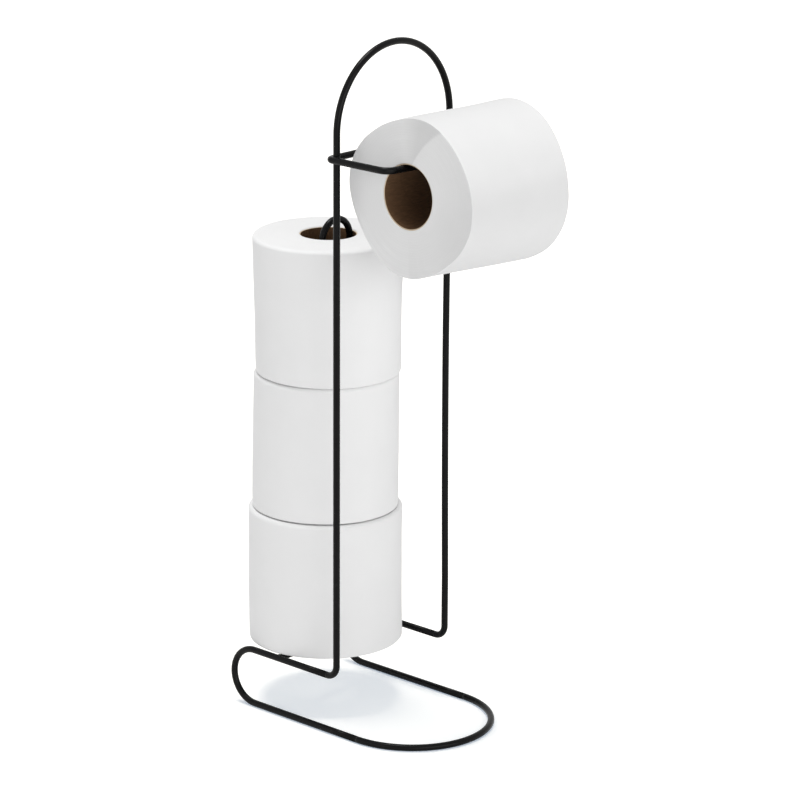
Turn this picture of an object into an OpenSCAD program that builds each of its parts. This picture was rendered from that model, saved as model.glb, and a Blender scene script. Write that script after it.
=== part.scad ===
// Freestanding wire stand for toilet rolls. One roll hangs on an open hook under the
// handle arch, and three spare rolls stack on a hairpin post behind the uprights.
// Lengths are in millimetres. The origin lies on the floor, midway between the two
// uprights. +X points across to the spindle's free end, -Y is the front and +Z is up.

/* [Frame wire] */
// Diameter of all the bent wire
wire_d = 4.9; // [3.5:0.1:6]
// Overall height, from the floor to the top of the arch
stand_h = 500; // [480:5:620]
// Distance between the uprights, centre to centre
frame_w = 115.5; // [112:0.5:125]
// Height of the roll rails above the floor wires, centre to centre
rail_rise = 41.5; // [36:0.5:60]
// Reach of the foot loop in front of the uprights, to the middle of its wire
front_reach = 78; // [72:1:110]
// Reach of the rear turns behind the uprights, to the middle of their wire
rear_reach = 103.5; // [96:0.5:130]
// Radius of the bend from an upright into its rail, to the middle of the wire
foot_bend_r = 9; // [6:0.5:14]

/* [Roll hook] */
// Distance of the hook below the top of the arch, to the middle of its wire
hook_drop = 76.5; // [60:0.5:100]
// Distance of the spindle's bend in front of the uprights, centre to centre
spindle_reach = 50.5; // [48:0.5:60]
// Radius of the bend from the arm into the spindle, to the middle of the wire
spindle_bend_r = 7; // [4:0.5:9]
// Angle that the spindle slopes down towards its free end
spindle_droop = 1.75; // [0:0.25:3]
// Angle that the spindle turns forward towards its free end
spindle_splay = 1; // [0:0.25:2]
// Length of spindle that shows past the hanging roll
spindle_spare = 5; // [2:0.5:7]
// Length of cross wire that runs on past the far upright
cross_spare = 5; // [3:0.5:12]
// Depth that two crossing wires are pressed into each other where they are welded
weld_set = 0.9; // [0.3:0.1:1.4]

/* [Reserve post] */
// Height of the post above the rails, centre of the rail to the middle of its top bend
post_h = 318; // [280:1:360]
// Distance between the two legs of the post, centre to centre
post_gap = 28; // [20:0.5:29]
// Length of each leg that runs on below the bar that carries the post
post_spare = 2; // [1:0.5:5]

/* [Welds] */
// Height that a weld bead stands out from the wires it joins
bead_t = 0.85; // [0.6:0.05:1.2]
// Distance that a bead is set back along its wire from the face or bend it fills
bead_back = 0.6; // [0.5:0.05:1]

/* [Hanging roll] */
// Outer diameter of the hanging roll
roll_d = 111.5; // [95:0.5:116]
// Length of the hanging roll, which is the width of its sheets
roll_len = 100; // [92:0.5:104]
// Inner diameter of the hanging roll's cardboard core
core_d = 44.5; // [38:0.5:48]
// Angle that the hanging roll swings forward of the spindle
swing = 15; // [0:0.5:20]

/* [Spare rolls] */
// Length of each spare roll, which is its height as it stands
spare_h = 101.5; // [90:0.5:104]
// Outer diameter of the bottom spare roll
bottom_d = 112; // [90:0.5:114]
// Outer diameter of the middle spare roll
middle_d = 105.5; // [90:0.5:112]
// Outer diameter of the top spare roll
top_d = 105.5; // [90:0.5:112]
// Inner diameter of the spare rolls' cardboard cores
spare_core_d = 40; // [38:0.5:46]
// Place of the bottom roll to the side of the stand's middle
stack_x = -1; // [-2:0.5:2]
// How far the middle roll stands to the left of the bottom one
middle_left = 0.2; // [0:0.1:1]
// How far the middle roll stands forward of the bottom one
middle_forward = 0.75; // [0.5:0.05:2]
// How far the top roll stands to the left of the bottom one
top_left = 1; // [0:0.1:1.5]
// How far the top roll stands forward of the bottom one
top_forward = 2.9; // [2:0.1:4]

/* [Paper and card] */
// Wall of a cardboard core
card_t = 0.8; // [0.4:0.1:1.2]
// Rounding of a roll's outer edges
edge_r = 3; // [1:0.5:5]
// Gap left between parts that touch but move
run_gap = 0.3; // [0.2:0.05:0.6]
// Gap between the spare rolls and the hook's cross wire in front of them
stack_gap = 1.8; // [1.5:0.1:6]

/* [Hidden] */

// Facets of a wire's section, of a bend and of a roll
wire_fn = 32;
bend_fn = 64;
roll_fn = 96;
// Rounding of a cut wire end
end_r = 1;
// A length that runs well past what it cuts
past = 20;

// Frame: the floor wires lie on the floor, and the rails lie above them
wire_r = wire_d / 2;
half_w = frame_w / 2;
floor_z = wire_r;
rail_z = floor_z + rail_rise;
rail_top_z = rail_z + wire_r;
turn_r = rail_rise / 2;
turn_z = floor_z + turn_r;
turn_y = rear_reach - turn_r;
arch_z = stand_h - wire_r - half_w;
loop_y = -(front_reach - half_w);

// Weld beads are balls cut away by the wires that they join. Welded wires that cross
// lie this far apart.
bead_r = wire_r + bead_t;
cross_gap = wire_d - weld_set;

// Hook: its cross wire lies behind the uprights and its arm outside the left one
hook_z = stand_h - hook_drop;
cross_y = cross_gap;
arm_x = -half_w - cross_y;
spindle_y = -spindle_reach;

// Hanging roll, measured along the spindle from its bend: the core's roof lies on the
// spindle. It swings forward by its own angle, or by what clears the cross wire.
roll_r = roll_d / 2;
core_r = core_d / 2;
hang = core_r - wire_r - run_gap;
span = cross_y + spindle_reach;
clear = roll_r + wire_r + run_gap;
least_swing = asin(max(0, (clear * clear - span * span - hang * hang) / (2 * span * hang)));
roll_swing = max(swing, least_swing);
roll_side = -hang * sin(roll_swing);
roll_drop = -hang * cos(roll_swing);

// The roll's far end leans with the spindle. The corner of it that comes nearest to the
// right upright stands off that by the running gap.
reach = spindle_reach - roll_side - wire_r;
rim_rise = roll_drop + sqrt(max(0, roll_r * roll_r - reach * reach));
corner_x = half_w - wire_r - run_gap - arm_x;
level_x = (corner_x - rim_rise * sin(spindle_droop)) / cos(spindle_droop) - spindle_bend_r;
lean_x = (roll_side + roll_r - spindle_bend_r) * sin(spindle_splay);
roll_far = (level_x - lean_x) / cos(spindle_splay);
roll_near = roll_far - roll_len;
spindle_len = roll_far + spindle_spare;

// Spare rolls: the bottom one stands on the rails behind the cross wire and leans its
// core back against the legs of the post. The others stand a little off it.
spare_r = max(bottom_d, max(middle_d, top_d)) / 2;
stack_y = cross_y + wire_r + stack_gap + spare_r;
stack_z = rail_top_z + run_gap;
spare_at = [
    [stack_x, stack_y],
    [stack_x - middle_left, stack_y - middle_forward],
    [stack_x - top_left, stack_y - top_forward]
];

// Post: it stands forward of the cores' middle by all the play that they have round it
post_x = post_gap / 2;
core_play = sqrt(max(0, pow(spare_core_d / 2 - wire_r - run_gap, 2) - pow(post_x + abs(stack_x), 2)));
post_y = stack_y - core_play;
post_arch_z = rail_z + post_h - post_x;

// Bar: it runs from rail to rail behind the legs of the post, so low that the beads at
// its ends rise no higher than the rails
bar_y = post_y + cross_gap;
bar_z = rail_z - bead_t;
leg_z = bar_z - wire_r - post_spare;

// Straight wire up from the origin
module wire_run(length) {
    cylinder(d = wire_d, h = length, $fn = wire_fn);
}

// Straight wire up from the origin to an end with its edge rounded
module wire_end(length) {
    rotate_extrude($fn = wire_fn)
        union() {
            square([wire_r, length - end_r]);
            square([wire_r - end_r, length]);
            translate([wire_r - end_r, length - end_r])
                circle(r = end_r, $fn = wire_fn);
        }
}

// Bent wire round the Z axis, from +X through an angle towards +Y
module wire_bend(bend_r, turn) {
    rotate_extrude(angle = turn, $fn = bend_fn)
        translate([bend_r, 0])
            circle(d = wire_d, $fn = wire_fn);
}

// Wire from an upright's foot into the rail behind it
module foot_bend(x) {
    translate([x, foot_bend_r, rail_z + foot_bend_r])
        rotate([0, -90, 0])
            rotate([0, 0, 180])
                wire_bend(foot_bend_r, 90);
}

// One upright from its foot bend to the arch
module upright(x) {
    translate([x, 0, rail_z + foot_bend_r])
        wire_run(arch_z - rail_z - foot_bend_r);
}

// Both uprights, the handle arch that joins them and the bends at their feet
module upright_hoop() {
    color([0.11, 0.11, 0.11])
        union() {
            upright(-half_w);
            upright(half_w);
            translate([0, 0, arch_z])
                rotate([90, 0, 0])
                    wire_bend(half_w, 180);
            foot_bend(-half_w);
            foot_bend(half_w);
        }
}

// Rail, rear turn and floor wire of one side
module runner(x) {
    color([0.11, 0.11, 0.11])
        union() {
            translate([x, foot_bend_r, rail_z])
                rotate([-90, 0, 0])
                    wire_run(turn_y - foot_bend_r);
            translate([x, turn_y, turn_z])
                rotate([0, -90, 0])
                    wire_bend(turn_r, 180);
            translate([x, loop_y, floor_z])
                rotate([-90, 0, 0])
                    wire_run(turn_y - loop_y);
        }
}

module left_runner() {
    runner(-half_w);
}

module right_runner() {
    runner(half_w);
}

// Half ring on the floor that joins the two runners in front
module foot_loop() {
    color([0.11, 0.11, 0.11])
        translate([0, loop_y, floor_z])
            rotate([0, 0, 180])
                wire_bend(half_w, 180);
}

// Places its children where the spindle leaves its bend, with +X along the spindle. The
// spindle droops by turning with its bend about the arm.
module on_spindle() {
    translate([arm_x, spindle_y + spindle_bend_r, hook_z])
        rotate([0, spindle_droop, 0])
            translate([spindle_bend_r, 0, 0])
                rotate([0, 0, -spindle_splay])
                    translate([0, -spindle_bend_r, 0])
                        children();
}

// Cross wire, the bend round the left upright and the arm
module roll_hook() {
    color([0.11, 0.11, 0.11])
        union() {
            translate([-half_w, cross_y, hook_z])
                rotate([0, 90, 0])
                    wire_end(frame_w + cross_spare);
            translate([-half_w, 0, hook_z])
                rotate([0, 0, 90])
                    wire_bend(cross_y, 90);
            translate([arm_x, 0, hook_z])
                rotate([90, 0, 0])
                    wire_run(spindle_reach - spindle_bend_r);
        }
}

// Front bend of the hook's wire and the spindle that goes through the hanging roll
module roll_spindle() {
    color([0.11, 0.11, 0.11])
        on_spindle() {
            translate([0, spindle_bend_r, 0])
                rotate([180, 0, -90])
                    wire_bend(spindle_bend_r, 90 - spindle_splay);
            rotate([0, 90, 0])
                wire_end(spindle_len);
        }
}

// Straight bar between the rails that the post is welded to
module post_bar() {
    color([0.11, 0.11, 0.11])
        translate([wire_r - half_w, bar_y, bar_z])
            rotate([0, 90, 0])
                wire_run(frame_w - wire_d);
}

// One leg of the post, from its arch down past the bar
module post_leg(x) {
    translate([x, 0, post_arch_z])
        rotate([180, 0, 0])
            wire_end(post_arch_z - leg_z);
}

// Hairpin post that the spare rolls stack on
module reserve_post() {
    color([0.11, 0.11, 0.11])
        translate([0, post_y, 0])
            union() {
                post_leg(-post_x);
                post_leg(post_x);
                translate([0, 0, post_arch_z])
                    rotate([90, 0, 0])
                        wire_bend(post_x, 180);
            }
}

// Beads where the hook crosses the uprights
module hook_welds() {
    color([0.13, 0.13, 0.13])
        difference() {
            union() {
                translate([half_w, cross_y / 2, hook_z])
                    sphere(r = bead_r, $fn = wire_fn);
                translate([-half_w - cross_y / 2, -bead_back, hook_z])
                    sphere(r = bead_r, $fn = wire_fn);
            }
            for (x = [-half_w, half_w])
                translate([x, 0, hook_z - past])
                    wire_run(2 * past);
            translate([half_w - past, cross_y, hook_z])
                rotate([0, 90, 0])
                    wire_run(2 * past);
            translate([-half_w, 0, hook_z])
                rotate([0, 0, 90])
                    wire_bend(cross_y, 90);
            translate([arm_x, 0, hook_z])
                rotate([90, 0, 0])
                    wire_run(past);
        }
}

// Ring of weld round a wire that runs up through the origin
module bead_ring() {
    rotate_extrude($fn = wire_fn)
        difference() {
            circle(r = bead_r, $fn = wire_fn);
            translate([wire_r - past, -past])
                square([past, 2 * past]);
        }
}

// Beads where the bar meets the rails and where it crosses the legs of the post
module post_welds() {
    color([0.13, 0.13, 0.13])
        for (side = [-1, 1]) {
            difference() {
                translate([side * (half_w - wire_r - bead_back), bar_y, bar_z])
                    rotate([0, 90, 0])
                        bead_ring();
                translate([side * half_w, bar_y - past, rail_z])
                    rotate([-90, 0, 0])
                        wire_run(2 * past);
            }
            difference() {
                translate([side * post_x, post_y + cross_gap / 2, bar_z])
                    sphere(r = bead_r, $fn = wire_fn);
                translate([side * post_x, post_y, bar_z - past])
                    wire_run(2 * past);
                translate([side * post_x - past, bar_y, bar_z])
                    rotate([0, 90, 0])
                        wire_run(2 * past);
            }
        }
}

// Cardboard core standing up from the origin
module core(inner_d, length) {
    color([0.45, 0.36, 0.26])
        difference() {
            cylinder(d = inner_d + 2 * card_t, h = length, $fn = roll_fn);
            translate([0, 0, -past])
                cylinder(d = inner_d, h = length + 2 * past, $fn = roll_fn);
        }
}

// Wound tissue standing up from the origin, with its outer edges rounded
module paper(outer_d, inner_d, length) {
    bore_r = inner_d / 2 + card_t;
    flat_r = outer_d / 2 - edge_r;
    color([0.95, 0.95, 0.94])
        rotate_extrude($fn = roll_fn)
            difference() {
                union() {
                    square([flat_r, length]);
                    translate([0, edge_r])
                        square([outer_d / 2, length - 2 * edge_r]);
                    for (z = [edge_r, length - edge_r])
                        translate([flat_r, z])
                            circle(r = edge_r, $fn = wire_fn);
                }
                translate([0, -past])
                    square([bore_r, length + 2 * past]);
            }
}

// Places its children along the hanging roll's axis
module on_hook() {
    on_spindle()
        translate([roll_near, roll_side, roll_drop])
            rotate([0, 90, 0])
                children();
}

// Places its children on the stack, counted from the bottom roll as 0
module on_stack(count) {
    translate([spare_at[count][0], spare_at[count][1], stack_z + count * spare_h])
        children();
}

module hanging_roll_core() {
    on_hook() core(core_d, roll_len);
}

module hanging_roll_paper() {
    on_hook() paper(roll_d, core_d, roll_len);
}

module bottom_roll_core() {
    on_stack(0) core(spare_core_d, spare_h);
}

module bottom_roll_paper() {
    on_stack(0) paper(bottom_d, spare_core_d, spare_h);
}

module middle_roll_core() {
    on_stack(1) core(spare_core_d, spare_h);
}

module middle_roll_paper() {
    on_stack(1) paper(middle_d, spare_core_d, spare_h);
}

module top_roll_core() {
    on_stack(2) core(spare_core_d, spare_h);
}

module top_roll_paper() {
    on_stack(2) paper(top_d, spare_core_d, spare_h);
}

upright_hoop();
left_runner();
right_runner();
foot_loop();
roll_hook();
roll_spindle();
post_bar();
reserve_post();
hook_welds();
post_welds();
hanging_roll_core();
hanging_roll_paper();
bottom_roll_core();
bottom_roll_paper();
middle_roll_core();
middle_roll_paper();
top_roll_core();
top_roll_paper();
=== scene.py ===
"""Looks of the freestanding wire stand for toilet rolls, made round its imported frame.

Everything is in metres, in the frame's own axes: the origin lies on the floor midway
between the uprights, +X runs along the spindle, -Y is the front and +Z is up.
"""

import math

import bmesh
import bpy
from bpy.props import (
    FloatProperty,
    FloatVectorProperty,
    IntProperty,
    PointerProperty,
)
from mathutils import Matrix, Vector, noise


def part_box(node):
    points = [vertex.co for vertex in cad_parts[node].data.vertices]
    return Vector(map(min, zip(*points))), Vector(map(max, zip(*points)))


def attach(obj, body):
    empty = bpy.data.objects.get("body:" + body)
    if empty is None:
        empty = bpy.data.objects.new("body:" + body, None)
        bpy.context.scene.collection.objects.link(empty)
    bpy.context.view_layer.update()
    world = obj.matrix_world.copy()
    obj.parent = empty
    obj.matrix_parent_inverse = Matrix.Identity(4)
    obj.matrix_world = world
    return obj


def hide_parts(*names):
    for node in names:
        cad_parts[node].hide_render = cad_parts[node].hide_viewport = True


bl_info = {
    "name": "Toilet roll stand",
    "version": (1, 0, 0),
    "blender": (4, 5, 0),
    "location": "3D View > Sidebar > Roll Stand",
    "description": "Dresses a wire stand for toilet rolls and the four rolls on it",
    "category": "Add Mesh",
}

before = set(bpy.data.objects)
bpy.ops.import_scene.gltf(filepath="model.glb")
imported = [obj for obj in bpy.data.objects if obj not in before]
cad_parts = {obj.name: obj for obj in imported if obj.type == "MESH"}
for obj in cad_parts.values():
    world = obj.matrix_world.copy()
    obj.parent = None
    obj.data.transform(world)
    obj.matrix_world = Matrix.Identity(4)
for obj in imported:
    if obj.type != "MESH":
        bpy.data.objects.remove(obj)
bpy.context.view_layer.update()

FULL_TURN = 2 * math.pi
HALF_TURN = math.pi
QUARTER_TURN = math.pi / 2
MM = 0.001
WHITE = (1.0, 1.0, 1.0)
X_AXIS = Vector((1, 0, 0))
Y_AXIS = Vector((0, 1, 0))
Z_AXIS = Vector((0, 0, 1))


# Helpers for meshes


def place_piece(name, bm, material, body, replaced=()):
    """Turns a bmesh into a finished piece that rides on a body of the frame."""
    mesh = bpy.data.meshes.new(name)
    bm.to_mesh(mesh)
    bm.free()
    piece = bpy.data.objects.new(name, mesh)
    bpy.context.scene.collection.objects.link(piece)
    mesh.materials.append(material)
    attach(piece, body)
    if replaced:
        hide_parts(*replaced)


def close_ends(bm):
    """Caps both open ends of a wire flat and shades the rest of it smooth."""
    for face in bm.faces:
        face.smooth = True
    rims = [e for e in bm.edges if e.is_boundary]
    caps = bmesh.ops.holes_fill(bm, edges=rims, sides=0)["faces"]
    for cap in caps:
        cap.smooth = False
    return caps


def round_end(bm, cap, rounding):
    """Rounds the edge of a cut wire end."""
    bmesh.ops.bevel(
        bm,
        geom=list(cap.edges),
        offset=rounding,
        offset_type="OFFSET",
        segments=5,
        profile=0.5,
        affect="EDGES",
        material=-1,
    )


def spin_ring(bm, steps):
    """Spins a closed section once round the Z axis and turns its faces outwards."""
    bmesh.ops.spin(
        bm,
        geom=bm.verts[:] + bm.edges[:],
        cent=(0, 0, 0),
        axis=Z_AXIS,
        dvec=(0, 0, 0),
        angle=FULL_TURN,
        steps=steps,
        use_merge=True,
        use_normal_flip=False,
        use_duplicate=False,
    )
    bmesh.ops.recalc_face_normals(bm, faces=bm.faces[:])


class Wire:
    """Round wire that is drawn and bent step by step, as a wire bender makes it."""

    def __init__(self, start, heading, radius, facets):
        self.bm = bmesh.new()
        self.at = Vector(start)
        self.heading = Vector(heading)
        bmesh.ops.create_circle(self.bm, cap_ends=False, segments=facets, radius=radius)
        turn = self.heading.to_track_quat("Z", "Y").to_matrix().to_4x4()
        bmesh.ops.transform(
            self.bm,
            matrix=Matrix.Translation(self.at) @ turn,
            verts=self.bm.verts[:],
        )
        self.rim = self.bm.edges[:]

    def run(self, length, pieces):
        """Goes straight on, in pieces of the same length."""
        for _ in range(pieces):
            grown = bmesh.ops.extrude_edge_only(self.bm, edges=self.rim)["geom"]
            step = self.heading * (length / pieces)
            verts = [g for g in grown if isinstance(g, bmesh.types.BMVert)]
            bmesh.ops.translate(self.bm, vec=step, verts=verts)
            self.rim = [
                g
                for g in grown
                if isinstance(g, bmesh.types.BMEdge) and g.is_boundary
            ]
            self.at += step

    def bend(self, towards, radius, angle, steps):
        """Bends through an angle round a centre that lies towards a direction."""
        towards = Vector(towards)
        axis = self.heading.cross(towards)
        centre = self.at + towards * radius
        verts = list({v for e in self.rim for v in e.verts})
        last = bmesh.ops.spin(
            self.bm,
            geom=verts + self.rim,
            cent=centre,
            axis=axis,
            dvec=(0, 0, 0),
            angle=angle,
            steps=steps,
            use_merge=False,
            use_normal_flip=False,
            use_duplicate=False,
        )["geom_last"]
        self.rim = [g for g in last if isinstance(g, bmesh.types.BMEdge)]
        turn = Matrix.Rotation(angle, 3, axis)
        self.at = centre + turn @ (self.at - centre)
        self.heading = turn @ self.heading

    def done(self):
        """Closes the wire, turns its faces outwards and returns its end caps."""
        caps = close_ends(self.bm)
        bmesh.ops.recalc_face_normals(self.bm, faces=self.bm.faces[:])
        return caps


# Helpers for materials


def opaque(colour):
    """A colour with full alpha, or a socket as it is."""
    return colour if isinstance(colour, bpy.types.NodeSocket) else (*colour, 1.0)


def shade_of(colour, level):
    """A colour made darker or lighter."""
    return [min(1.0, c * level) for c in colour]


class NodeBench:
    """Adds nodes to one material or world and links them up."""

    def __init__(self, owner):
        owner.use_nodes = True
        self.owner = owner
        self.tree = owner.node_tree
        self.tree.nodes.clear()

    def add(self, kind, gives, inputs, **settings):
        """New node with its settings and inputs. Returns the output that it gives."""
        node = self.tree.nodes.new(kind)
        for name, value in settings.items():
            setattr(node, name, value)
        for key, value in inputs.items():
            if isinstance(value, bpy.types.NodeSocket):
                self.tree.links.new(value, node.inputs[key])
            else:
                node.inputs[key].default_value = value
        return node.outputs[gives] if gives else None

    def maths(self, operation, *values):
        """Arithmetic on sockets and numbers."""
        inputs = dict(enumerate(values))
        return self.add("ShaderNodeMath", "Value", inputs, operation=operation)

    def apart(self, vector):
        """The three coordinates of a point."""
        node = self.tree.nodes.new("ShaderNodeSeparateXYZ")
        self.tree.links.new(vector, node.inputs["Vector"])
        return node.outputs

    def mapped(self, vector, way, by):
        """Coordinates moved, turned or stretched: the way is an input of the node."""
        inputs = {"Vector": vector, way: by}
        return self.add("ShaderNodeMapping", "Vector", inputs, vector_type="POINT")

    def coordinates(self, middle=(0, 0, 0), turned=(0, 0, 0)):
        """Object coordinates measured from a point and turned to a roll's own axis."""
        where = self.add("ShaderNodeTexCoord", "Object", {})
        shifted = self.mapped(where, "Location", [-c for c in middle])
        return self.mapped(shifted, "Rotation", turned)

    def speckle(self, vector, scale, detail=2.0, rough=0.5):
        """Noise of a scale in cycles a metre."""
        inputs = {"Vector": vector, "Scale": scale, "Detail": detail, "Roughness": rough}
        return self.add("ShaderNodeTexNoise", "Fac", inputs)

    def between(self, factor, low, high, from_low=0.0, from_high=1.0):
        """Maps a factor to the span from low to high."""
        span = {"From Min": from_low, "From Max": from_high, "To Min": low, "To Max": high}
        return self.add("ShaderNodeMapRange", "Result", {"Value": factor, **span})

    def blend(self, factor, first, second):
        """Mixes two colours, or a colour socket and a colour, by a factor."""
        inputs = {"Factor": factor, "A": opaque(first), "B": opaque(second)}
        return self.add("ShaderNodeMix", "Result", inputs, data_type="RGBA")

    def mark(self, name):
        """A number that the mesh carries at each of its points."""
        settings = {"attribute_name": name, "attribute_type": "GEOMETRY"}
        return self.add("ShaderNodeAttribute", "Fac", {}, **settings)

    def raised(self, *heights):
        """Chains bumps of (height socket, strength, depth in metres) into one normal."""
        chained = {}
        for height, strength, depth in heights:
            inputs = {"Height": height, "Strength": strength, "Distance": depth, **chained}
            chained = {"Normal": self.add("ShaderNodeBump", "Normal", inputs)}
        return chained["Normal"]

    def seen_by_eye(self):
        """1 for rays from the camera, a mirror or clear glass, and 0 for all others."""
        path = self.tree.nodes.new("ShaderNodeLightPath").outputs
        seen = self.maths("MAXIMUM", path["Is Camera Ray"], path["Is Glossy Ray"])
        return self.maths("MAXIMUM", seen, path["Is Transmission Ray"])

    def diffuse(self, colour):
        """Plain matt shader."""
        return self.add("ShaderNodeBsdfDiffuse", "BSDF", {"Color": opaque(colour)})

    def glowing_sky(self, strength):
        """White light from all round."""
        inputs = {"Color": opaque(WHITE), "Strength": strength}
        return self.add("ShaderNodeBackground", "Background", inputs)

    def mixed(self, factor, first, second):
        """Two shaders mixed by a factor."""
        inputs = {"Fac": factor, 1: first, 2: second}
        return self.add("ShaderNodeMixShader", "Shader", inputs)

    def finish(self, shader, output="ShaderNodeOutputMaterial"):
        """Links the finished shader to the output."""
        self.add(output, None, {"Surface": shader})

    def finish_surface(self, inputs):
        """Makes the surface of a piece from the inputs of its shader."""
        self.finish(self.add("ShaderNodeBsdfPrincipled", "BSDF", inputs))


def coat_material(name, finish, ripple):
    """Satin black powder coat: fine orange peel, faint flecks and uneven gloss."""
    bench = NodeBench(bpy.data.materials.new(name))
    here = bench.coordinates()
    flecks = bench.speckle(here, scale=1900.0, detail=3.0)
    clouds = bench.speckle(here, scale=90.0)
    peel = bench.speckle(here, scale=1100.0, detail=1.0)
    dark = shade_of(finish.colour, 0.78)
    light = shade_of(finish.colour, 1.3)
    tone = bench.between(flecks, 0.0, 1.0, from_low=0.35, from_high=0.68)
    smoothest = finish.roughness - 0.04
    roughest = finish.roughness + 0.05
    gloss = bench.between(clouds, smoothest, roughest, from_low=0.3, from_high=0.7)
    bumps = [(peel, 0.35, finish.peel_depth)]
    if ripple:
        drops = bench.speckle(here, scale=620.0)
        bumps.insert(0, (drops, 0.6, ripple))
    bench.finish_surface(
        {
            "Base Color": bench.blend(tone, dark, light),
            "Roughness": gloss,
            "Metallic": 0.0,
            "IOR": 1.5,
            "Specular IOR Level": finish.shine,
            "Normal": bench.raised(*bumps),
        }
    )
    return bench.owner


def card_material(name, finish, middle, turned):
    """Brown core board: lighter cut edge, long fibres and the wound strip's joint."""
    bench = NodeBench(bpy.data.materials.new(name))
    local = bench.coordinates(middle, turned)
    x, y, z = bench.apart(local)
    turns = bench.maths("DIVIDE", bench.maths("ARCTAN2", y, x), FULL_TURN)
    climb = bench.maths("MULTIPLY_ADD", z, 1.0 / finish.strip_pitch, turns)
    joint_place, joint_width = 0.5, 0.012
    joint = bench.maths("COMPARE", bench.maths("FRACT", climb), joint_place, joint_width)
    drawn_out = bench.mapped(local, "Scale", (1.0, 1.0, 0.22))
    fibres = bench.speckle(drawn_out, scale=900.0, detail=4.0, rough=0.6)
    clouds = bench.speckle(local, scale=60.0, detail=3.0)
    deep = shade_of(finish.colour, 0.72)
    pale = shade_of(finish.colour, 1.25)
    grain = bench.between(fibres, 0.0, 1.0, from_low=0.3, from_high=0.7)
    stain = bench.between(clouds, 0.0, 0.5, from_low=0.35, from_high=0.75)
    seam = bench.between(joint, 0.0, 0.18)
    tone = bench.blend(grain, deep, pale)
    tone = bench.blend(stain, tone, deep)
    tone = bench.blend(seam, tone, shade_of(finish.colour, 0.5))
    bench.finish_surface(
        {
            "Base Color": bench.blend(bench.mark("cut_edge"), tone, finish.edge_colour),
            "Roughness": 0.82,
            "Specular IOR Level": 0.25,
            "Normal": bench.raised((fibres, 0.5, 0.06 * MM), (joint, 0.6, -0.2 * MM)),
        }
    )
    return bench.owner


def tissue_material(name, finish, colour, middle, turned):
    """Soft white tissue: crepe round the roll and wound plies on its ends, with painted
    shade in the gaps between plies and on the hanging roll.
    """
    bench = NodeBench(bpy.data.materials.new(name))
    local = bench.coordinates(middle, turned)
    wrap = bench.add("ShaderNodeUVMap", "UV", {}, uv_map="winding")
    crepe_lines = bench.mapped(wrap, "Scale", (1.0, 0.16, 1.0))
    wave_lines = bench.mapped(wrap, "Scale", (1.0, 0.12, 1.0))
    crepe = bench.speckle(crepe_lines, scale=2100.0, detail=3.0, rough=0.6)
    waves = bench.speckle(wave_lines, scale=70.0)
    fuzz = bench.speckle(local, scale=2600.0)
    clouds = bench.speckle(local, scale=34.0)
    rings = {
        "Vector": local,
        "Scale": finish.ply_rings,
        "Distortion": 2.2,
        "Detail": 2.0,
        "Detail Scale": 0.6,
    }
    plies = bench.add(
        "ShaderNodeTexWave",
        "Fac",
        rings,
        wave_type="RINGS",
        rings_direction="Z",
        wave_profile="SIN",
    )
    face = bench.mark("end_face")
    # Painted shade in the gaps between plies on the end faces.
    ply_gap_shade = bench.between(plies, finish.ply_shade, 0.0)
    patches = bench.between(clouds, 0.0, 1.0, from_low=0.3, from_high=0.7)
    tone = bench.blend(patches, colour, shade_of(colour, 0.982))
    tone = bench.blend(bench.maths("MULTIPLY", face, ply_gap_shade), tone, shade_of(colour, 0.6))
    # Painted shade on the hanging roll: its wedge, side band, creases and the rest of it
    # are darkened towards half the tissue's colour.
    tone = bench.blend(bench.mark("painted_shade"), tone, shade_of(colour, 0.5))
    bench.finish_surface(
        {
            "Base Color": tone,
            "Roughness": 0.92,
            "Specular IOR Level": 0.12,
            "Sheen Weight": 0.05,
            "Sheen Roughness": 0.5,
            "Normal": bench.raised(
                (waves, 0.5, 0.35 * MM),
                (bench.maths("MULTIPLY", face, plies), 0.5, 0.05 * MM),
                (crepe, 0.5, 0.05 * MM),
                (fuzz, 0.4, 0.03 * MM),
            ),
        }
    )
    return bench.owner


def floor_material(name, look):
    """Pale floor that the camera sees as white where no shadow falls on it."""
    bench = NodeBench(bpy.data.materials.new(name))
    unshaded = {"Color": opaque(look.shadow_floor), "Strength": 1.0}
    glow = bench.add("ShaderNodeEmission", "Emission", unshaded)
    shaded = bench.diffuse(look.shadow_share)
    seen = bench.add("ShaderNodeAddShader", "Shader", {0: shaded, 1: glow})
    bench.finish(bench.mixed(bench.seen_by_eye(), bench.diffuse(look.floor_colour), seen))
    return bench.owner


# Sizes and colours that a user would change


def size(name, description, default):
    """A length in metres."""
    return FloatProperty(
        name=name, description=description, default=default, min=0.0, unit="LENGTH"
    )


def offset(name, description, default):
    """A length in metres that may be negative."""
    return FloatProperty(name=name, description=description, default=default, unit="LENGTH")


def lean(name, description, degrees):
    """An angle, given in degrees."""
    return FloatProperty(
        name=name, description=description, default=math.radians(degrees), subtype="ANGLE"
    )


def portion(name, description, default):
    """A part of a whole, from 0 to 1."""
    return FloatProperty(
        name=name, description=description, default=default, min=0.0, max=1.0
    )


def amount(name, description, default):
    """A plain number that isn't negative."""
    return FloatProperty(name=name, description=description, default=default, min=0.0)


def count(name, description, default, least):
    """A whole number."""
    return IntProperty(name=name, description=description, default=default, min=least)


def tint(name, description, default):
    """A linear colour."""
    return FloatVectorProperty(
        name=name,
        description=description,
        default=default,
        size=3,
        min=0.0,
        max=1.0,
        subtype="COLOR",
    )


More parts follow.
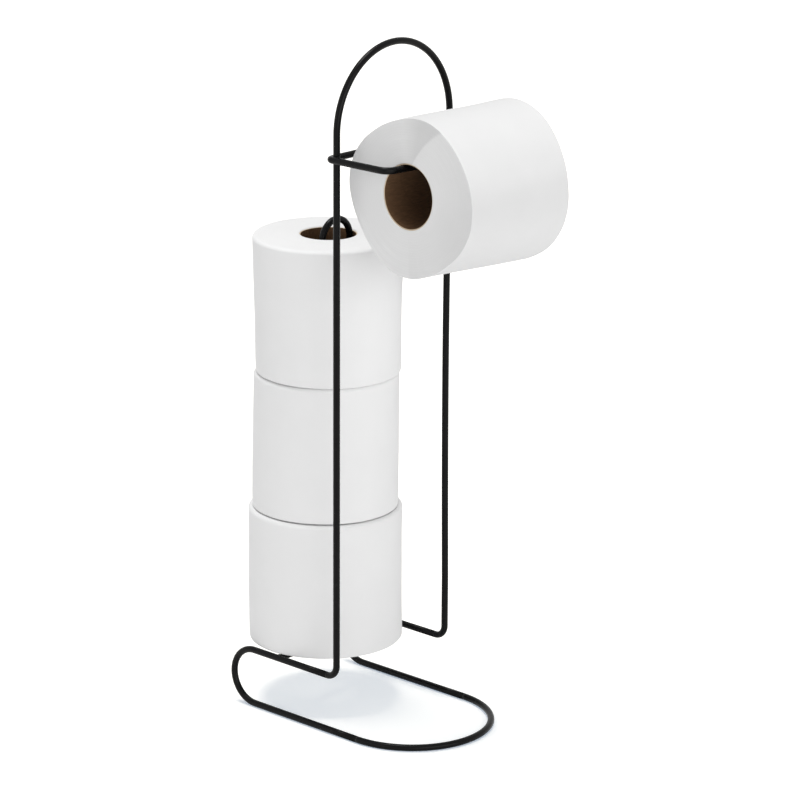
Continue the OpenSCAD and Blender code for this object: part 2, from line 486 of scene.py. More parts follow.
class WireSizes(bpy.types.PropertyGroup):
    wire_d: size("Wire", "Diameter of all the bent wire", 0.0049)
    stand_h: size("Height", "Floor to the top of the arch", 0.5)
    frame_w: size("Width", "Distance between the uprights, centre to centre", 0.1155)
    rail_rise: size("Rail rise", "Rails above the floor wires, centre to centre", 0.0415)
    front_reach: size("Front reach", "Foot loop in front of the uprights", 0.078)
    rear_reach: size("Rear reach", "Rear turns behind the uprights", 0.1035)
    foot_bend_r: size("Foot bend", "Bend from an upright into its rail", 0.009)
    bow: size("Bow", "How far the right upright bows inwards", 0.0016)
    bow_foot: size("Bow foot", "Height where the bow starts", 0.09)
    bow_head: size("Bow head", "Height where the bow ends", 0.42)
    hook_drop: size("Hook drop", "Hook below the top of the arch", 0.0765)
    spindle_reach: size("Spindle reach", "Spindle in front of the uprights", 0.0505)
    spindle_bend_r: size("Spindle bend", "Bend from the arm into the spindle", 0.007)
    spindle_droop: lean("Spindle droop", "Slope of the spindle down to its free end", 1.75)
    spindle_splay: lean("Spindle splay", "Turn of the spindle's free end to the front", 1.0)
    spindle_len: size("Spindle", "Straight part of the spindle", 0.114115)
    cross_spare: size("Cross wire end", "Cross wire past the far upright", 0.005)
    cross_gap: size("Crossing", "Distance between welded wires that cross", 0.004)
    post_h: size("Post height", "Post above the rails, to its top bend", 0.318)
    post_gap: size("Post width", "Distance between the legs of the post", 0.028)
    post_y: size("Post place", "Post behind the uprights", 0.055732)
    bar_drop: size("Bar drop", "Bar below the rails, centre to centre", 0.00085)
    post_spare: size("Leg end", "Length of each leg below the bar", 0.002)
    end_r: size("End rounding", "Rounding of a cut wire end", 0.001)
    facets: count("Facets", "Sides of the wire", 32, 8)


class CoatFinish(bpy.types.PropertyGroup):
    colour: tint("Coat", "Colour of the powder coat", (0.0037, 0.0037, 0.0039))
    roughness: portion("Roughness", "Satin of the coat", 0.26)
    shine: portion("Shine", "Strength of the coat's gloss", 0.095)
    peel_depth: size("Orange peel", "Depth of the coat's fine unevenness", 0.00002)
    bead_ripple: size("Bead ripple", "Depth of the ripple on a weld bead", 0.0001)


class PaperFinish(bpy.types.PropertyGroup):
    colour: tint("Tissue", "Colour of the spare rolls' tissue", (0.86, 0.86, 0.86))
    # The hanging roll's tissue is a darker copy of the spare rolls' tissue: painted shade.
    hanging_shaded_colour: tint("Hanging tissue", "Hanging roll's tissue", (0.795, 0.795, 0.795))
    ply_rings: amount("Ply rings", "Density of the rings on a roll's end", 170.0)
    # Painted shade in the gaps between plies on a roll's end faces.
    ply_shade: portion("Ply tone", "How dark the gaps between plies are", 0.035)


class CardFinish(bpy.types.PropertyGroup):
    colour: tint("Card", "Colour of the core board", (0.14, 0.075, 0.036))
    edge_colour: tint("Cut edge", "Colour of the board's cut edge", (0.62, 0.50, 0.36))
    strip_pitch: size("Strip pitch", "Climb of the wound strip in one turn", 0.078)


class RollSizes(bpy.types.PropertyGroup):
    near_rounding: size("Lower rounding", "Rounding of a spare roll's lower edge", 0.0014)
    hanging_rounding: size("Near rounding", "The hanging roll's near edge", 0.0007)
    far_rounding: size("Upper rounding", "Rounding of the upper or far edge", 0.003)
    hanging_d: size("Hanging roll", "Outer diameter of the hanging roll", 0.1115)
    hanging_len: size("Sheet width", "Length of the hanging roll", 0.1)
    hanging_bore: size("Hanging bore", "Diameter of the hole in its tissue", 0.0461)
    card_t: size("Card", "Wall of the cardboard core", 0.0008)
    core_back: size("Core recess", "How far the core ends below the paper's faces", 0.0006)
    dish: size("Dish", "How far an end face sinks between its rims", 0.0005)
    lump: size("Lumps", "Slow unevenness of the outer plies", 0.00045)
    pucker: size("Puckers", "Fine unevenness of the outer plies", 0.00018)
    sheet_t: size("Sheet", "Thickness of the loose last sheet", 0.00022)
    sheet_sweep: lean("Sheet sweep", "Part of the last turn that is loose", 42.0)
    around: count("Around", "Steps round a roll", 192, 24)
    along: count("Along", "Steps along a roll", 48, 4)
    across: count("Across", "Steps across an end face", 40, 4)
    tube_around: count("Tube around", "Steps round a core", 96, 24)
    tube_along: count("Tube along", "Steps along a core", 24, 2)


class StageLook(bpy.types.PropertyGroup):
    floor_colour: tint("Floor", "Floor in the object's own light", (0.8, 0.8, 0.8))
    shadow_share: tint("Seen floor", "Part that a shadow takes", (1.0, 0.93, 0.81))
    shadow_floor: tint("Seen glow", "Part that no shadow takes", (0.274, 0.338, 0.424))
    floor_side: size("Floor side", "Length of a side of the floor", 14.0)
    world_level: amount("Studio level", "Even light from all round", 0.415)
    top_level: amount("Top level", "Soft light from nearly straight above", 1.83)
    front_level: amount("Front level", "Broad light from the front", 1.81)
    left_level: amount("Left level", "Weak light from the left", 0.60)
    lens: amount("Lens", "Focal length in millimetres", 159.17)
    distance: size("Distance", "Camera to the object", 2.511)
    azimuth: lean("Azimuth", "Turn of the view", -47.46)
    elevation: lean("Elevation", "Height of the view", 16.61)
    tilt: lean("Tilt", "Roll of the view", 0.33)
    aim_height: size("Aim height", "Height that the view is centred on", 0.2547)
    aim_right: offset("Aim right", "View moved to its right", 0.005155)
    aim_up: offset("Aim up", "View moved upwards", -0.014915)


# Stage


class ROLLSTAND_OT_stage(bpy.types.Operator):
    """Make the floor, the studio light and the camera"""

    bl_idname = "rollstand.stage"
    bl_label = "Stage"

    def execute(self, context):
        look = context.scene.rollstand_stage
        self.lay_floor(look)
        self.light_studio(context.scene, look)
        self.set_camera(context.scene, look)
        context.scene.view_settings.view_transform = "Standard"
        return {"FINISHED"}

    def lay_floor(self, look):
        """A wide flat floor under the stand."""
        bm = bmesh.new()
        bmesh.ops.create_grid(bm, x_segments=1, y_segments=1, size=look.floor_side / 2)
        mesh = bpy.data.meshes.new("studio_floor")
        bm.to_mesh(mesh)
        bm.free()
        floor = bpy.data.objects.new("studio_floor", mesh)
        bpy.context.scene.collection.objects.link(floor)
        mesh.materials.append(floor_material("pale_floor", look))

    def light_studio(self, scene, look):
        """Even light from all round and three broad, soft lamps."""
        world = bpy.data.worlds.new("studio")
        bench = NodeBench(world)
        even = bench.glowing_sky(look.world_level)
        white = bench.glowing_sky(1.0)
        seen = bench.mixed(bench.seen_by_eye(), even, white)
        bench.finish(seen, output="ShaderNodeOutputWorld")
        scene.world = world
        for name, level, softness, shines_from in (
            ("top_light", look.top_level, 25.0, (0.0, 0.12, 1.0)),
            ("front_light", look.front_level, 60.0, (-0.22, -0.97, 0.05)),
            ("left_light", look.left_level, 60.0, (-0.95, 0.3, 0.1)),
        ):
            lamp = bpy.data.lights.new(name, "SUN")
            lamp.energy = level
            lamp.angle = math.radians(softness)
            light = bpy.data.objects.new(name, lamp)
            light.rotation_mode = "QUATERNION"
            light.rotation_quaternion = Vector(shines_from).to_track_quat("Z", "Y")
            scene.collection.objects.link(light)

    def set_camera(self, scene, look):
        """A camera at the photo's distance, turned as the photo's view is."""
        side, height = math.sin(look.azimuth), math.sin(look.elevation)
        front, level = math.cos(look.azimuth), math.cos(look.elevation)
        back = Vector((side * level, -front * level, height))
        right = Vector((front, side, 0.0))
        up = back.cross(right)
        leaned_right = math.cos(look.tilt) * right + math.sin(look.tilt) * up
        leaned_up = math.cos(look.tilt) * up - math.sin(look.tilt) * right
        aim = Vector((0.0, 0.0, look.aim_height))
        aim += look.aim_right * leaned_right + look.aim_up * leaned_up
        lens = bpy.data.cameras.new("photo_camera")
        lens.lens = look.lens
        lens.sensor_width = 36.0
        lens.clip_start = 0.05
        lens.clip_end = 60.0
        camera = bpy.data.objects.new("photo_camera", lens)
        turn = Matrix((leaned_right, leaned_up, back)).transposed()
        camera.matrix_world = Matrix.Translation(aim + back * look.distance) @ turn.to_4x4()
        scene.collection.objects.link(camera)
        scene.camera = camera


# Wires, with the steps of their bends

CORNER_STEPS = 24
ARCH_STEPS = 96
TURN_STEPS = 56
POST_STEPS = 48


class ROLLSTAND_OT_frame_wire(bpy.types.Operator):
    """Bend the uprights with their arch, the two runners and the foot loop"""

    bl_idname = "rollstand.frame_wire"
    bl_label = "Frame wire"

    def execute(self, context):
        s = context.scene.rollstand_wire
        coat = coat_material("black_powder_coat", context.scene.rollstand_coat, 0.0)
        half = s.frame_w / 2
        radius = s.wire_d / 2
        rail_z = radius + s.rail_rise
        arch_z = s.stand_h - radius - half
        turn_r = s.rail_rise / 2
        turn_y = s.rear_reach - turn_r
        loop_y = half - s.front_reach
        climb = arch_z - rail_z - s.foot_bend_r

        hoop = Wire((-half, s.foot_bend_r, rail_z), -Y_AXIS, radius, s.facets)
        hoop.bend(Z_AXIS, s.foot_bend_r, QUARTER_TURN, CORNER_STEPS)
        hoop.run(climb, pieces=20)
        hoop.bend(X_AXIS, half, HALF_TURN, ARCH_STEPS)
        hoop.run(climb, pieces=20)
        hoop.bend(Y_AXIS, s.foot_bend_r, QUARTER_TURN, CORNER_STEPS)
        hoop.done()
        self.bow_upright(hoop.bm, s)
        place_piece(
            "upright_hoop_wire", hoop.bm, coat, "stand", ["upright_hoop"]
        )

        for side, node in ((-1, "left_runner"), (1, "right_runner")):
            runner = Wire((side * half, s.foot_bend_r, rail_z), Y_AXIS, radius, s.facets)
            runner.run(turn_y - s.foot_bend_r, pieces=3)
            runner.bend(-Z_AXIS, turn_r, HALF_TURN, TURN_STEPS)
            runner.run(turn_y - loop_y, pieces=4)
            runner.done()
            place_piece(node + "_wire", runner.bm, coat, "stand", [node])

        loop = Wire((-half, loop_y, radius), -Y_AXIS, radius, s.facets)
        loop.bend(X_AXIS, half, HALF_TURN, ARCH_STEPS)
        loop.done()
        place_piece("foot_loop_wire", loop.bm, coat, "stand", ["foot_loop"])
        return {"FINISHED"}

    def bow_upright(self, bm, s):
        """Bows the right upright a little inwards between its foot and the hook."""
        for vert in bm.verts:
            rise = (vert.co.z - s.bow_foot) / (s.bow_head - s.bow_foot)
            if vert.co.x > 0 and 0 < rise < 1:
                vert.co.x -= s.bow * math.sin(HALF_TURN * rise)


class ROLLSTAND_OT_hook(bpy.types.Operator):
    """Bend the hook: cross wire, arm and the open spindle that holds a roll"""

    bl_idname = "rollstand.hook"
    bl_label = "Roll hook"

    def execute(self, context):
        s = context.scene.rollstand_wire
        coat = bpy.data.materials["black_powder_coat"]
        half = s.frame_w / 2
        radius = s.wire_d / 2
        hook_z = s.stand_h - s.hook_drop

        hook = Wire((half + s.cross_spare, s.cross_gap, hook_z), -X_AXIS, radius, s.facets)
        hook.run(s.frame_w + s.cross_spare, pieces=4)
        hook.bend(-Y_AXIS, s.cross_gap, QUARTER_TURN, CORNER_STEPS)
        hook.run(s.spindle_reach - s.spindle_bend_r, pieces=3)
        drooping = Vector((math.cos(s.spindle_droop), 0.0, -math.sin(s.spindle_droop)))
        turned = QUARTER_TURN - s.spindle_splay
        hook.bend(drooping, s.spindle_bend_r, turned, CORNER_STEPS)
        hook.run(s.spindle_len, pieces=4)
        for cap in hook.done():
            round_end(hook.bm, cap, s.end_r)
        nodes = ["roll_hook", "roll_spindle"]
        place_piece("roll_hook_wire", hook.bm, coat, "stand", nodes)
        return {"FINISHED"}


class ROLLSTAND_OT_post(bpy.types.Operator):
    """Bend the hairpin post for spare rolls and lay the bar that carries it"""

    bl_idname = "rollstand.post"
    bl_label = "Reserve post"

    def execute(self, context):
        s = context.scene.rollstand_wire
        coat = bpy.data.materials["black_powder_coat"]
        radius = s.wire_d / 2
        rail_z = radius + s.rail_rise
        bar_z = rail_z - s.bar_drop
        leg_x = s.post_gap / 2
        leg_z = bar_z - radius - s.post_spare
        arch_z = rail_z + s.post_h - leg_x
        bar_end = s.frame_w / 2 - radius

        bar = Wire((-bar_end, s.post_y + s.cross_gap, bar_z), X_AXIS, radius, s.facets)
        bar.run(2 * bar_end, pieces=4)
        bar.done()
        place_piece("post_bar_wire", bar.bm, coat, "stand", ["post_bar"])

        post = Wire((-leg_x, s.post_y, leg_z), Z_AXIS, radius, s.facets)
        post.run(arch_z - leg_z, pieces=6)
        post.bend(X_AXIS, leg_x, HALF_TURN, POST_STEPS)
        post.run(arch_z - leg_z, pieces=6)
        for cap in post.done():
            round_end(post.bm, cap, s.end_r)
        place_piece(
            "reserve_post_wire", post.bm, coat, "stand", ["reserve_post"]
        )
        return {"FINISHED"}


# Weld beads: metal over the wire, its longer reach, the half length of a bead at the end
# of the bar, and how far a bead lies off its joint. The swell is the unevenness of a ball.
BEAD_COVER = 0.00065
BEAD_LONG_COVER = 0.00085
BEAD_SHORT = 0.0018
BEAD_SHIFT = 0.0003
BEAD_SWELL = 0.06
BEAD_GRAIN = 2.3
BEAD_SEED = 900


class ROLLSTAND_OT_welds(bpy.types.Operator):
    """Lay the small weld beads where wires meet"""

    bl_idname = "rollstand.welds"
    bl_label = "Weld beads"

    def execute(self, context):
        s = context.scene.rollstand_wire
        finish = context.scene.rollstand_coat
        coat = coat_material("coated_weld", finish, finish.bead_ripple)
        half = s.frame_w / 2
        radius = s.wire_d / 2
        hook_z = s.stand_h - s.hook_drop
        bar_y = s.post_y + s.cross_gap
        bar_z = radius + s.rail_rise - s.bar_drop
        bar_end = half - radius
        leg_x = s.post_gap / 2
        low_x = s.cross_gap / 2
        ball = radius + BEAD_COVER
        long_ball = radius + BEAD_LONG_COVER
        groups = (
            (
                "hook_weld_beads",
                "hook_welds",
                (
                    ((half, low_x, hook_z), (ball, long_ball, ball)),
                    ((-half - low_x, -BEAD_SHIFT, hook_z), (long_ball, ball, ball)),
                ),
            ),
            (
                "post_weld_beads",
                "post_welds",
                (
                    ((bar_end - BEAD_SHIFT, bar_y, bar_z), (BEAD_SHORT, ball, ball)),
                    ((BEAD_SHIFT - bar_end, bar_y, bar_z), (BEAD_SHORT, ball, ball)),
                    ((leg_x, bar_y - low_x, bar_z), (ball, long_ball, ball)),
                    ((-leg_x, bar_y - low_x, bar_z), (ball, long_ball, ball)),
                ),
            ),
        )
        for name, node, beads in groups:
            bm = bmesh.new()
            for middle, reach in beads:
                self.lay_bead(bm, Vector(middle), Vector(reach))
            for face in bm.faces:
                face.smooth = True
            place_piece(name, bm, coat, "stand", [node])
        return {"FINISHED"}

    def lay_bead(self, bm, middle, reach):
        """A ball of weld metal, a little uneven, flattened to its reach."""
        ball = bmesh.ops.create_icosphere(bm, subdivisions=4, radius=1.0)["verts"]
        for vert in ball:
            swell = noise.noise(vert.co * BEAD_GRAIN + middle * BEAD_SEED)
            vert.co *= 1 - BEAD_SWELL + BEAD_SWELL * swell
        bmesh.ops.scale(bm, vec=reach, verts=ball)
        bmesh.ops.translate(bm, vec=middle, verts=ball)


# Rolls

SLUMP_TERMS = 9

# Unevenness of the paper: its waves round and along a roll, and how far noise is stretched.
# Points within the slack of the bore stay on it.
LUMP_GRAIN = (0.9, 1.6)
PUCKER_GRAIN = (4.2, 3.0)
NOISE_REACH = 1.6
BORE_SLACK = 0.00001
BORE_CUTS = 3

# Unevenness of an end face: how full its bowl is, its slow drift, its steps from ply to ply
# and how deep into the roll it reaches. Points within a share of an edge's rounding belong
# to the face.
BOWL_EASE = 0.8
FACE_GRAIN = 1.1
FACE_DRIFT = 0.5
FAR_FACE_SEED = 5.0
PLY_GRAIN = 9.0
PLY_STEP = 0.0002
FACE_ZONE = 0.006
NEAR_FACE_SHARE = 0.3
FAR_FACE_SHARE = 0.2

# Folded plies on the hanging roll's near end, with painted shade: a darker wedge, a darker
# band at its side and darker creases. Angles are in degrees round its axis, from straight
# down over its back. The wedge fades in, gets deeper and darker, and ends at an edge that
# leans from the bore to the rim. The rest of the roll has one even painted shade, which
# leaves its near end lighter.
WEDGE_START = 170.0
WEDGE_EDGE = 189.0
WEDGE_LEAN = 21.0
WEDGE_FADE_IN = 18.0
WEDGE_FADE_OUT = 2.5
WEDGE_SHADE = 0.28
WEDGE_DEPTH = 0.0007
SIDE_MIDDLE = 292.0
SIDE_WIDTH = 52.0
SIDE_SHADE = 0.22
CREASES = ((344.0, 3.0), (352.0, 2.2), (357.0, 2.2))
CREASE_SHADE = 0.07
HANGING_SHADE = 0.06

# Loose last sheet: where it starts in degrees, its lower margin and its width as shares of
# the roll's length, and its torn edge. It starts just under the skin, rises above it over
# its first part and curls off at its end, more where it has lifted.
HANGING_SHEET_START = 25.0
SPARE_SHEET_START = 70.0
SHEET_MARGIN = 0.03
SHEET_WIDTH = 0.925
SHEET_STEPS = (28, 40)
TORN_GRAIN = 26.0
TORN_SEED = (3.0, 1.0)
TORN_REACH = 0.006
SHEET_ROOT = -0.0003
SHEET_RISE = 0.00055
RISING_PART = 0.25
LIFT_GRAIN = (2.0, 3.5)
LIFT_SEED = 7.0
SHEET_CURL = 0.0005


class RollPlan:
    """Where a roll is, how big it is and how its paper has slumped.

    A plan's own axis is +Z. Slump is given at its lower and upper end: how far the outer
    plies are pushed sideways, how much wider they are, and how oval, three-lobed and
    four-lobed they are, each as a cosine and a sine. All of it is in millimetres.
    """

    def __init__(self, node, seed, paper_sizes, **slump):
        low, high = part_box(node + "_paper")
        core_low, core_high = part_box(node + "_core")
        self.name = node
        self.seed = Vector((seed * 7.1, seed * 3.7, seed * 1.9))
        self.sizes = paper_sizes
        self.hanging = False
        self.length = high.z - low.z
        self.radius = (high.x - low.x) / 2
        self.bore = (core_high.x - core_low.x) / 2
        self.foot = Vector(((low.x + high.x) / 2, (low.y + high.y) / 2, low.z))
        self.turn = Matrix.Identity(3)
        even = (0.0,) * SLUMP_TERMS
        self.low = (*slump["low"], *even)[:SLUMP_TERMS]
        self.high = (*slump["high"], *even)[:SLUMP_TERMS]

    def lay_on(self, along, up):
        """Lays the roll with its axis along the spindle."""
        low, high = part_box(self.name + "_paper")
        self.hanging = True
        self.length = self.sizes.hanging_len
        self.radius = self.sizes.hanging_d / 2
        self.bore = self.sizes.hanging_bore / 2
        self.foot = (low + high) / 2 - along * (self.length / 2)
        self.turn = Matrix((-up, up.cross(along), along)).transposed()

    def unturned(self):
        """Angles that turn the roll's axis back to +Z."""
        return self.turn.inverted().to_euler("XYZ")

    def stand(self, bm):
        """Moves a mesh from the plan's own axis to the roll's place."""
        bmesh.ops.transform(
            bm,
            matrix=Matrix.Translation(self.foot) @ self.turn.to_4x4(),
            verts=bm.verts[:],
        )

    def share_of(self, radius):
        """0 at the bore and 1 at the outer plies."""
        return clamped((radius - self.bore) / (self.radius - self.bore))

    def slumped(self, share, angle, rise):
        """How far the slump moves a ply outwards and sideways."""
        mixed = [
            (below * (1 - rise) + above * rise) * share * MM
            for below, above in zip(self.low, self.high)
        ]
        push_x, push_y, out = mixed[:3]
        for lobes, level, upright in zip((2, 3, 4), mixed[3::2], mixed[4::2]):
            out += level * math.cos(lobes * angle) + upright * math.sin(lobes * angle)
        return out, push_x, push_y


def spindle_axes(s):
    """Directions along the spindle to its free end, and up from it."""
    droop, splay = s.spindle_droop, s.spindle_splay
    level = math.cos(splay)
    along = Vector((level * math.cos(droop), -math.sin(splay), -level * math.sin(droop)))
    return along, Vector((math.sin(droop), 0.0, math.cos(droop)))


def clamped(value, least=0.0):
    """A value kept between the least one and 1."""
    return max(least, min(1.0, value))


def soft_noise(point):
    """Smooth noise, stretched to reach from -1 to 1."""
    return clamped(noise.noise(point) * NOISE_REACH, -1.0)


def skin_noise(angle, rise, grain, seed):
    """Smooth noise on a roll's skin, with its grain round the roll and along it."""
    around, along = grain
    ring = Vector((math.cos(angle), math.sin(angle), 0.0))
    return soft_noise(ring * around + Z_AXIS * rise * along + seed)


def paper_offset(plan, radius, angle, height):
    """How far the paper moves from its plain shape: outwards, and along X and Y."""
    s = plan.sizes
    share = plan.share_of(radius)
    rise = height / plan.length
    lump = skin_noise(angle, rise, LUMP_GRAIN, plan.seed)
    pucker = skin_noise(angle, rise, PUCKER_GRAIN, plan.seed * 2)
    out, push_x, push_y = plan.slumped(share, angle, rise)
    out += share * share * (s.lump * lump + s.pucker * pucker)
    return out, push_x, push_y


def end_sink(plan, radius, angle, far):
    """How far an end face lies inside its plain plane, always inwards."""
    s = plan.sizes
    share = plan.share_of(radius)
    bowl = s.dish * math.sin(HALF_TURN * share) ** BOWL_EASE if 0 < share < 1 else 0.0
    x, y, z = math.cos(angle), math.sin(angle), FAR_FACE_SEED if far else 0.0
    drift = soft_noise(Vector((x, y, z)) * FACE_GRAIN + plan.seed * 3)
    steps = soft_noise(Vector((share * PLY_GRAIN, x, y)) + plan.seed)
    fold = near_fold_and_painted_shade(share, angle)[1] if plan.hanging and not far else 0.0
    return bowl * (1.0 + FACE_DRIFT * drift) + PLY_STEP * share * (1 + steps) + fold


def hump(value, middle, width):
    """1 at the middle, fading to 0 on both sides."""
    return math.exp(-(((value - middle) / width) ** 2))


def near_fold_and_painted_shade(share, angle):
    """Painted shade and depth of the creased plies on the near end of the hanging roll."""
    turned = math.degrees(angle) % 360.0
    edge = WEDGE_EDGE + WEDGE_LEAN * share
    past_start = turned - WEDGE_START
    wedge = clamped(min(past_start / WEDGE_FADE_IN, (edge - turned) / WEDGE_FADE_OUT))
    slope = clamped(past_start / (edge - WEDGE_START))
    side = hump(turned, SIDE_MIDDLE, SIDE_WIDTH)
    shade = WEDGE_SHADE * wedge + SIDE_SHADE * side * share ** 0.5
    for crease, width in CREASES:
        shade += CREASE_SHADE * share ** 3 * hump(turned, crease, width)
    between_rims = 4.0 * share * (1.0 - share)
    return shade, WEDGE_DEPTH * wedge * slope * between_rims


class ROLLSTAND_OT_rolls(bpy.types.Operator):
    """Wind the hanging roll and the three spare rolls on their cardboard cores"""

    bl_idname = "rollstand.rolls"
    bl_label = "Toilet rolls"

    def execute(self, context):
        scene = context.scene
        s = scene.rollstand_rolls
        plans = (
            RollPlan(
                "hanging_roll", 1, s,
                low=(0.25, -2.1, 0.1, -1.0, -0.45, 0.8, -0.3, 0.85, 1.0),
                high=(0.9, -6.0, -0.3, 1.6, 1.05, -1.4),
            ),
            RollPlan("bottom_roll", 2, s, low=(-0.6, 0.5, 0.2), high=(-0.6, 0.5, 0.2)),
            RollPlan("middle_roll", 3, s, low=(-0.8, 0.9, 0.2), high=(-0.4, 0.2, -0.1)),
            RollPlan("top_roll", 4, s, low=(0.2, 0.2, -0.6), high=(-0.3, 0.0, 1.6)),
        )
        along, up = spindle_axes(scene.rollstand_wire)
        plans[0].lay_on(along, up)
        for plan in plans:
            finish = scene.rollstand_paper
            # The hanging roll takes the darker copy of the tissue colour, which paints
            # shade on it.
            colour = finish.hanging_shaded_colour if plan.hanging else finish.colour
            place = (plan.foot, plan.unturned())
            paper = tissue_material(plan.name + "_tissue", finish, colour, *place)
            card = card_material(plan.name + "_card", scene.rollstand_card, *place)
            self.wind_paper(plan, paper)
            self.roll_core(plan, card)
            self.lay_last_sheet(plan, paper)
        return {"FINISHED"}

    def wind_paper(self, plan, material):
        """The wound tissue: a closed ring with soft, uneven plies."""
        s = plan.sizes
        bm = bmesh.new()
        corners = [
            bm.verts.new((radius, 0.0, height))
            for radius, height in (
                (plan.bore, 0.0),
                (plan.radius, 0.0),
                (plan.radius, plan.length),
                (plan.bore, plan.length),
            )
        ]
        edges = [bm.edges.new((corners[i], corners[(i + 1) % 4])) for i in range(4)]
        for edge, cuts in zip(edges, (s.across, s.along, s.across, BORE_CUTS)):
            bmesh.ops.subdivide_edges(bm, edges=[edge], cuts=cuts)
        near_rounding = s.hanging_rounding if plan.hanging else s.near_rounding
        self.round_corner(bm, plan, 0.0, near_rounding)
        self.round_corner(bm, plan, plan.length, s.far_rounding)
        spin_ring(bm, s.around)
        for face in bm.faces:
            face.smooth = True
        self.mark_paper(bm, plan)
        for vert in bm.verts:
            radius = math.hypot(vert.co.x, vert.co.y)
            angle = math.atan2(vert.co.y, vert.co.x)
            height = vert.co.z
            out, push_x, push_y = paper_offset(plan, radius, angle, height)
            if radius > plan.bore + BORE_SLACK:
                vert.co.x += out * math.cos(angle) + push_x
                vert.co.y += out * math.sin(angle) + push_y
            at_near = max(0.0, 1.0 - height / FACE_ZONE)
            at_far = max(0.0, 1.0 - (plan.length - height) / FACE_ZONE)
            vert.co.z += at_near * end_sink(plan, radius, angle, False)
            vert.co.z -= at_far * end_sink(plan, radius, angle, True)
        plan.stand(bm)
        place_piece(
            plan.name + "_tissue", bm, material, plan.name, [plan.name + "_paper"]
        )

    def round_corner(self, bm, plan, height, rounding):
        """Rounds one outer corner of the paper's section."""
        tip = Vector((plan.radius, 0.0, height))
        near = [v for v in bm.verts if (v.co - tip).length < rounding]
        corner = min(near, key=lambda v: (v.co - tip).length)
        bmesh.ops.dissolve_verts(bm, verts=[v for v in near if v is not corner])
        bmesh.ops.bevel(
            bm,
            geom=[corner],
            offset=rounding,
            offset_type="OFFSET",
            segments=7,
            profile=0.5,
            affect="VERTICES",
            material=-1,
        )

    def mark_paper(self, bm, plan):
        """Writes the map round the roll, marks which points lie on an end face and writes
        the painted shade of the hanging roll.
        """
        s = plan.sizes
        wrap = bm.loops.layers.uv.new("winding")
        ends = bm.verts.layers.float.new("end_face")
        painted_shades = bm.verts.layers.float.new("painted_shade")
        for vert in bm.verts:
            near = vert.co.z < s.hanging_rounding * NEAR_FACE_SHARE
            far = vert.co.z > plan.length - s.far_rounding * FAR_FACE_SHARE
            vert[ends] = 1.0 if near or far else 0.0
            # Painted shade: the near end of the hanging roll takes the darker wedge, side
            # band and creases, and the rest of the roll one even painted shade.
            if plan.hanging and near:
                share = plan.share_of(math.hypot(vert.co.x, vert.co.y))
                vert[painted_shades] = near_fold_and_painted_shade(share, math.atan2(vert.co.y, vert.co.x))[0]
            elif plan.hanging:
                vert[painted_shades] = HANGING_SHADE
        for face in bm.faces:
            middle = face.calc_center_median()
            face_angle = math.atan2(middle.y, middle.x)
            for loop in face.loops:
                at = loop.vert.co
                angle = math.atan2(at.y, at.x)
                angle += FULL_TURN * round((face_angle - angle) / FULL_TURN)
                loop[wrap].uv = (angle * plan.radius, at.z + math.hypot(at.x, at.y))

    def roll_core(self, plan, material):
        """The cardboard tube, set back a little from the paper's faces."""
        s = plan.sizes
        inner = plan.bore - s.card_t
        low = s.core_back
        high = plan.length - s.core_back
        edge = 0.15 * MM
        step = (high - low - 2 * edge) / s.tube_along
        bm = bmesh.new()
        heights = [low, low + edge]
        heights += [low + edge + step * k for k in range(1, s.tube_along)]
        heights += [high - edge, high]
        ring = [bm.verts.new((inner, 0.0, z)) for z in heights]
        ring += [bm.verts.new((plan.bore, 0.0, z)) for z in reversed(heights)]
        for first, second in zip(ring, ring[1:] + ring[:1]):
            bm.edges.new((first, second))
        spin_ring(bm, s.tube_around)
        cut = bm.verts.layers.float.new("cut_edge")
        for vert in bm.verts:
            at_end = vert.co.z < low + edge / 2 or vert.co.z > high - edge / 2
            vert[cut] = 1.0 if at_end else 0.0
        for face in bm.faces:
            face.smooth = abs(face.normal.z) < 0.5
        plan.stand(bm)
        place_piece(
            plan.name + "_tube", bm, material, plan.name, [plan.name + "_core"]
        )

    def lay_last_sheet(self, plan, material):
        """The loose end of the last sheet, lying on the side that faces away."""
        s = plan.sizes
        start = math.radians(HANGING_SHEET_START if plan.hanging else SPARE_SHEET_START)
        steps_round, steps_along = SHEET_STEPS
        lift_round, lift_along = LIFT_GRAIN
        bm = bmesh.new()
        bmesh.ops.create_grid(bm, x_segments=steps_round, y_segments=steps_along, size=0.5)
        wrap = bm.loops.layers.uv.new("winding")
        bm.verts.layers.float.new("end_face")
        bm.verts.layers.float.new("painted_shade")
        for vert in bm.verts:
            across = vert.co.x + 0.5
            along = vert.co.y + 0.5
            height = plan.length * (SHEET_MARGIN + SHEET_WIDTH * along)
            torn = soft_noise(Vector((along * TORN_GRAIN, *TORN_SEED)) + plan.seed)
            angle = start + s.sheet_sweep * across + TORN_REACH * torn * across ** 6
            out, push_x, push_y = paper_offset(plan, plan.radius, angle, height)
            lifting = Vector((across * lift_round, along * lift_along, LIFT_SEED))
            lift = soft_noise(lifting + plan.seed)
            rooted = SHEET_ROOT + SHEET_RISE * min(1.0, across / RISING_PART)
            loose = SHEET_CURL * across ** 4 * (1.0 + lift)
            radius = plan.radius + out + rooted + loose
            vert.co.x = radius * math.cos(angle) + push_x
            vert.co.y = radius * math.sin(angle) + push_y
            vert.co.z = height
        for face in bm.faces:
            face.smooth = True
            for loop in face.loops:
                at = loop.vert.co
                around = math.atan2(at.y, at.x) * plan.radius
                loop[wrap].uv = (around, at.z + plan.radius)
        bmesh.ops.recalc_face_normals(bm, faces=bm.faces[:])
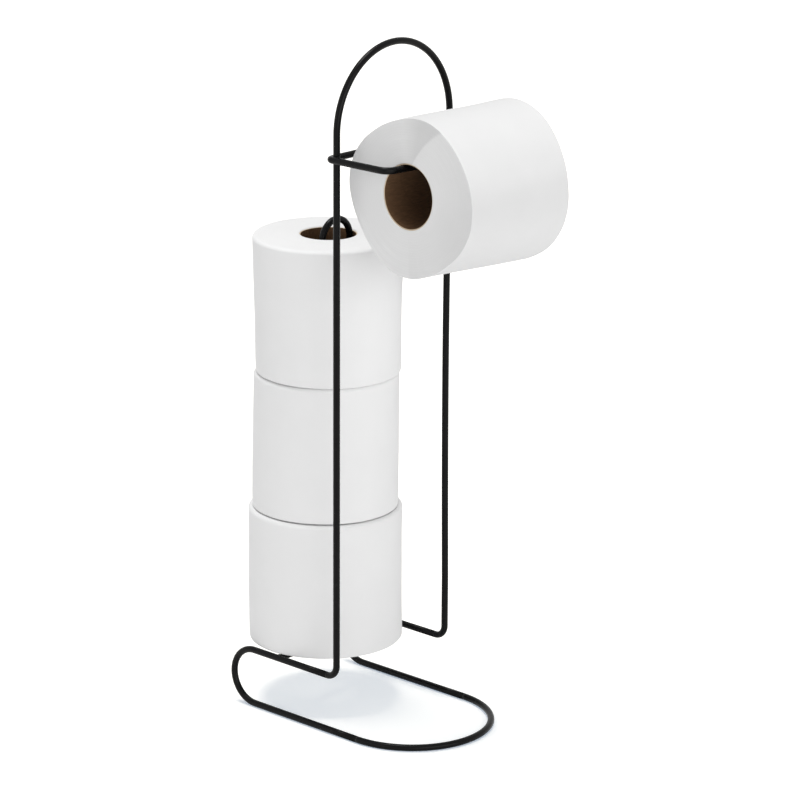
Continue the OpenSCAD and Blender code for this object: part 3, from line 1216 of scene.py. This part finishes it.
        facing_out = sum(f.normal.dot(f.calc_center_median()) for f in bm.faces)
        if facing_out < 0:
            bmesh.ops.reverse_faces(bm, faces=bm.faces[:])
        bmesh.ops.solidify(bm, geom=bm.faces[:], thickness=s.sheet_t)
        plan.stand(bm)
        place_piece(plan.name + "_last_sheet", bm, material, plan.name)


# Panel and registration


class ROLLSTAND_PT_panel(bpy.types.Panel):
    """Lists the steps that make the stand and its rolls"""

    bl_idname = "ROLLSTAND_PT_panel"
    bl_label = "Roll Stand"
    bl_space_type = "VIEW_3D"
    bl_region_type = "UI"
    bl_category = "Roll Stand"

    def draw(self, context):
        for operator in OPERATORS:
            self.layout.operator(operator.bl_idname)


GROUPS = (
    ("rollstand_wire", WireSizes),
    ("rollstand_coat", CoatFinish),
    ("rollstand_paper", PaperFinish),
    ("rollstand_card", CardFinish),
    ("rollstand_rolls", RollSizes),
    ("rollstand_stage", StageLook),
)
OPERATORS = (
    ROLLSTAND_OT_stage,
    ROLLSTAND_OT_frame_wire,
    ROLLSTAND_OT_hook,
    ROLLSTAND_OT_post,
    ROLLSTAND_OT_welds,
    ROLLSTAND_OT_rolls,
)


def register():
    """Registers the sizes, the operators and the panel."""
    for name, group in GROUPS:
        bpy.utils.register_class(group)
        setattr(bpy.types.Scene, name, PointerProperty(type=group))
    for operator in OPERATORS:
        bpy.utils.register_class(operator)
    bpy.utils.register_class(ROLLSTAND_PT_panel)


def unregister():
    """Takes them all out again."""
    bpy.utils.unregister_class(ROLLSTAND_PT_panel)
    for operator in reversed(OPERATORS):
        bpy.utils.unregister_class(operator)
    for name, group in reversed(GROUPS):
        delattr(bpy.types.Scene, name)
        bpy.utils.unregister_class(group)


def main():
    """Makes the stage, the stand and its rolls."""
    register()
    bpy.ops.rollstand.stage()
    bpy.ops.rollstand.frame_wire()
    bpy.ops.rollstand.hook()
    bpy.ops.rollstand.post()
    bpy.ops.rollstand.welds()
    bpy.ops.rollstand.rolls()


if __name__ == "__main__":
    main()
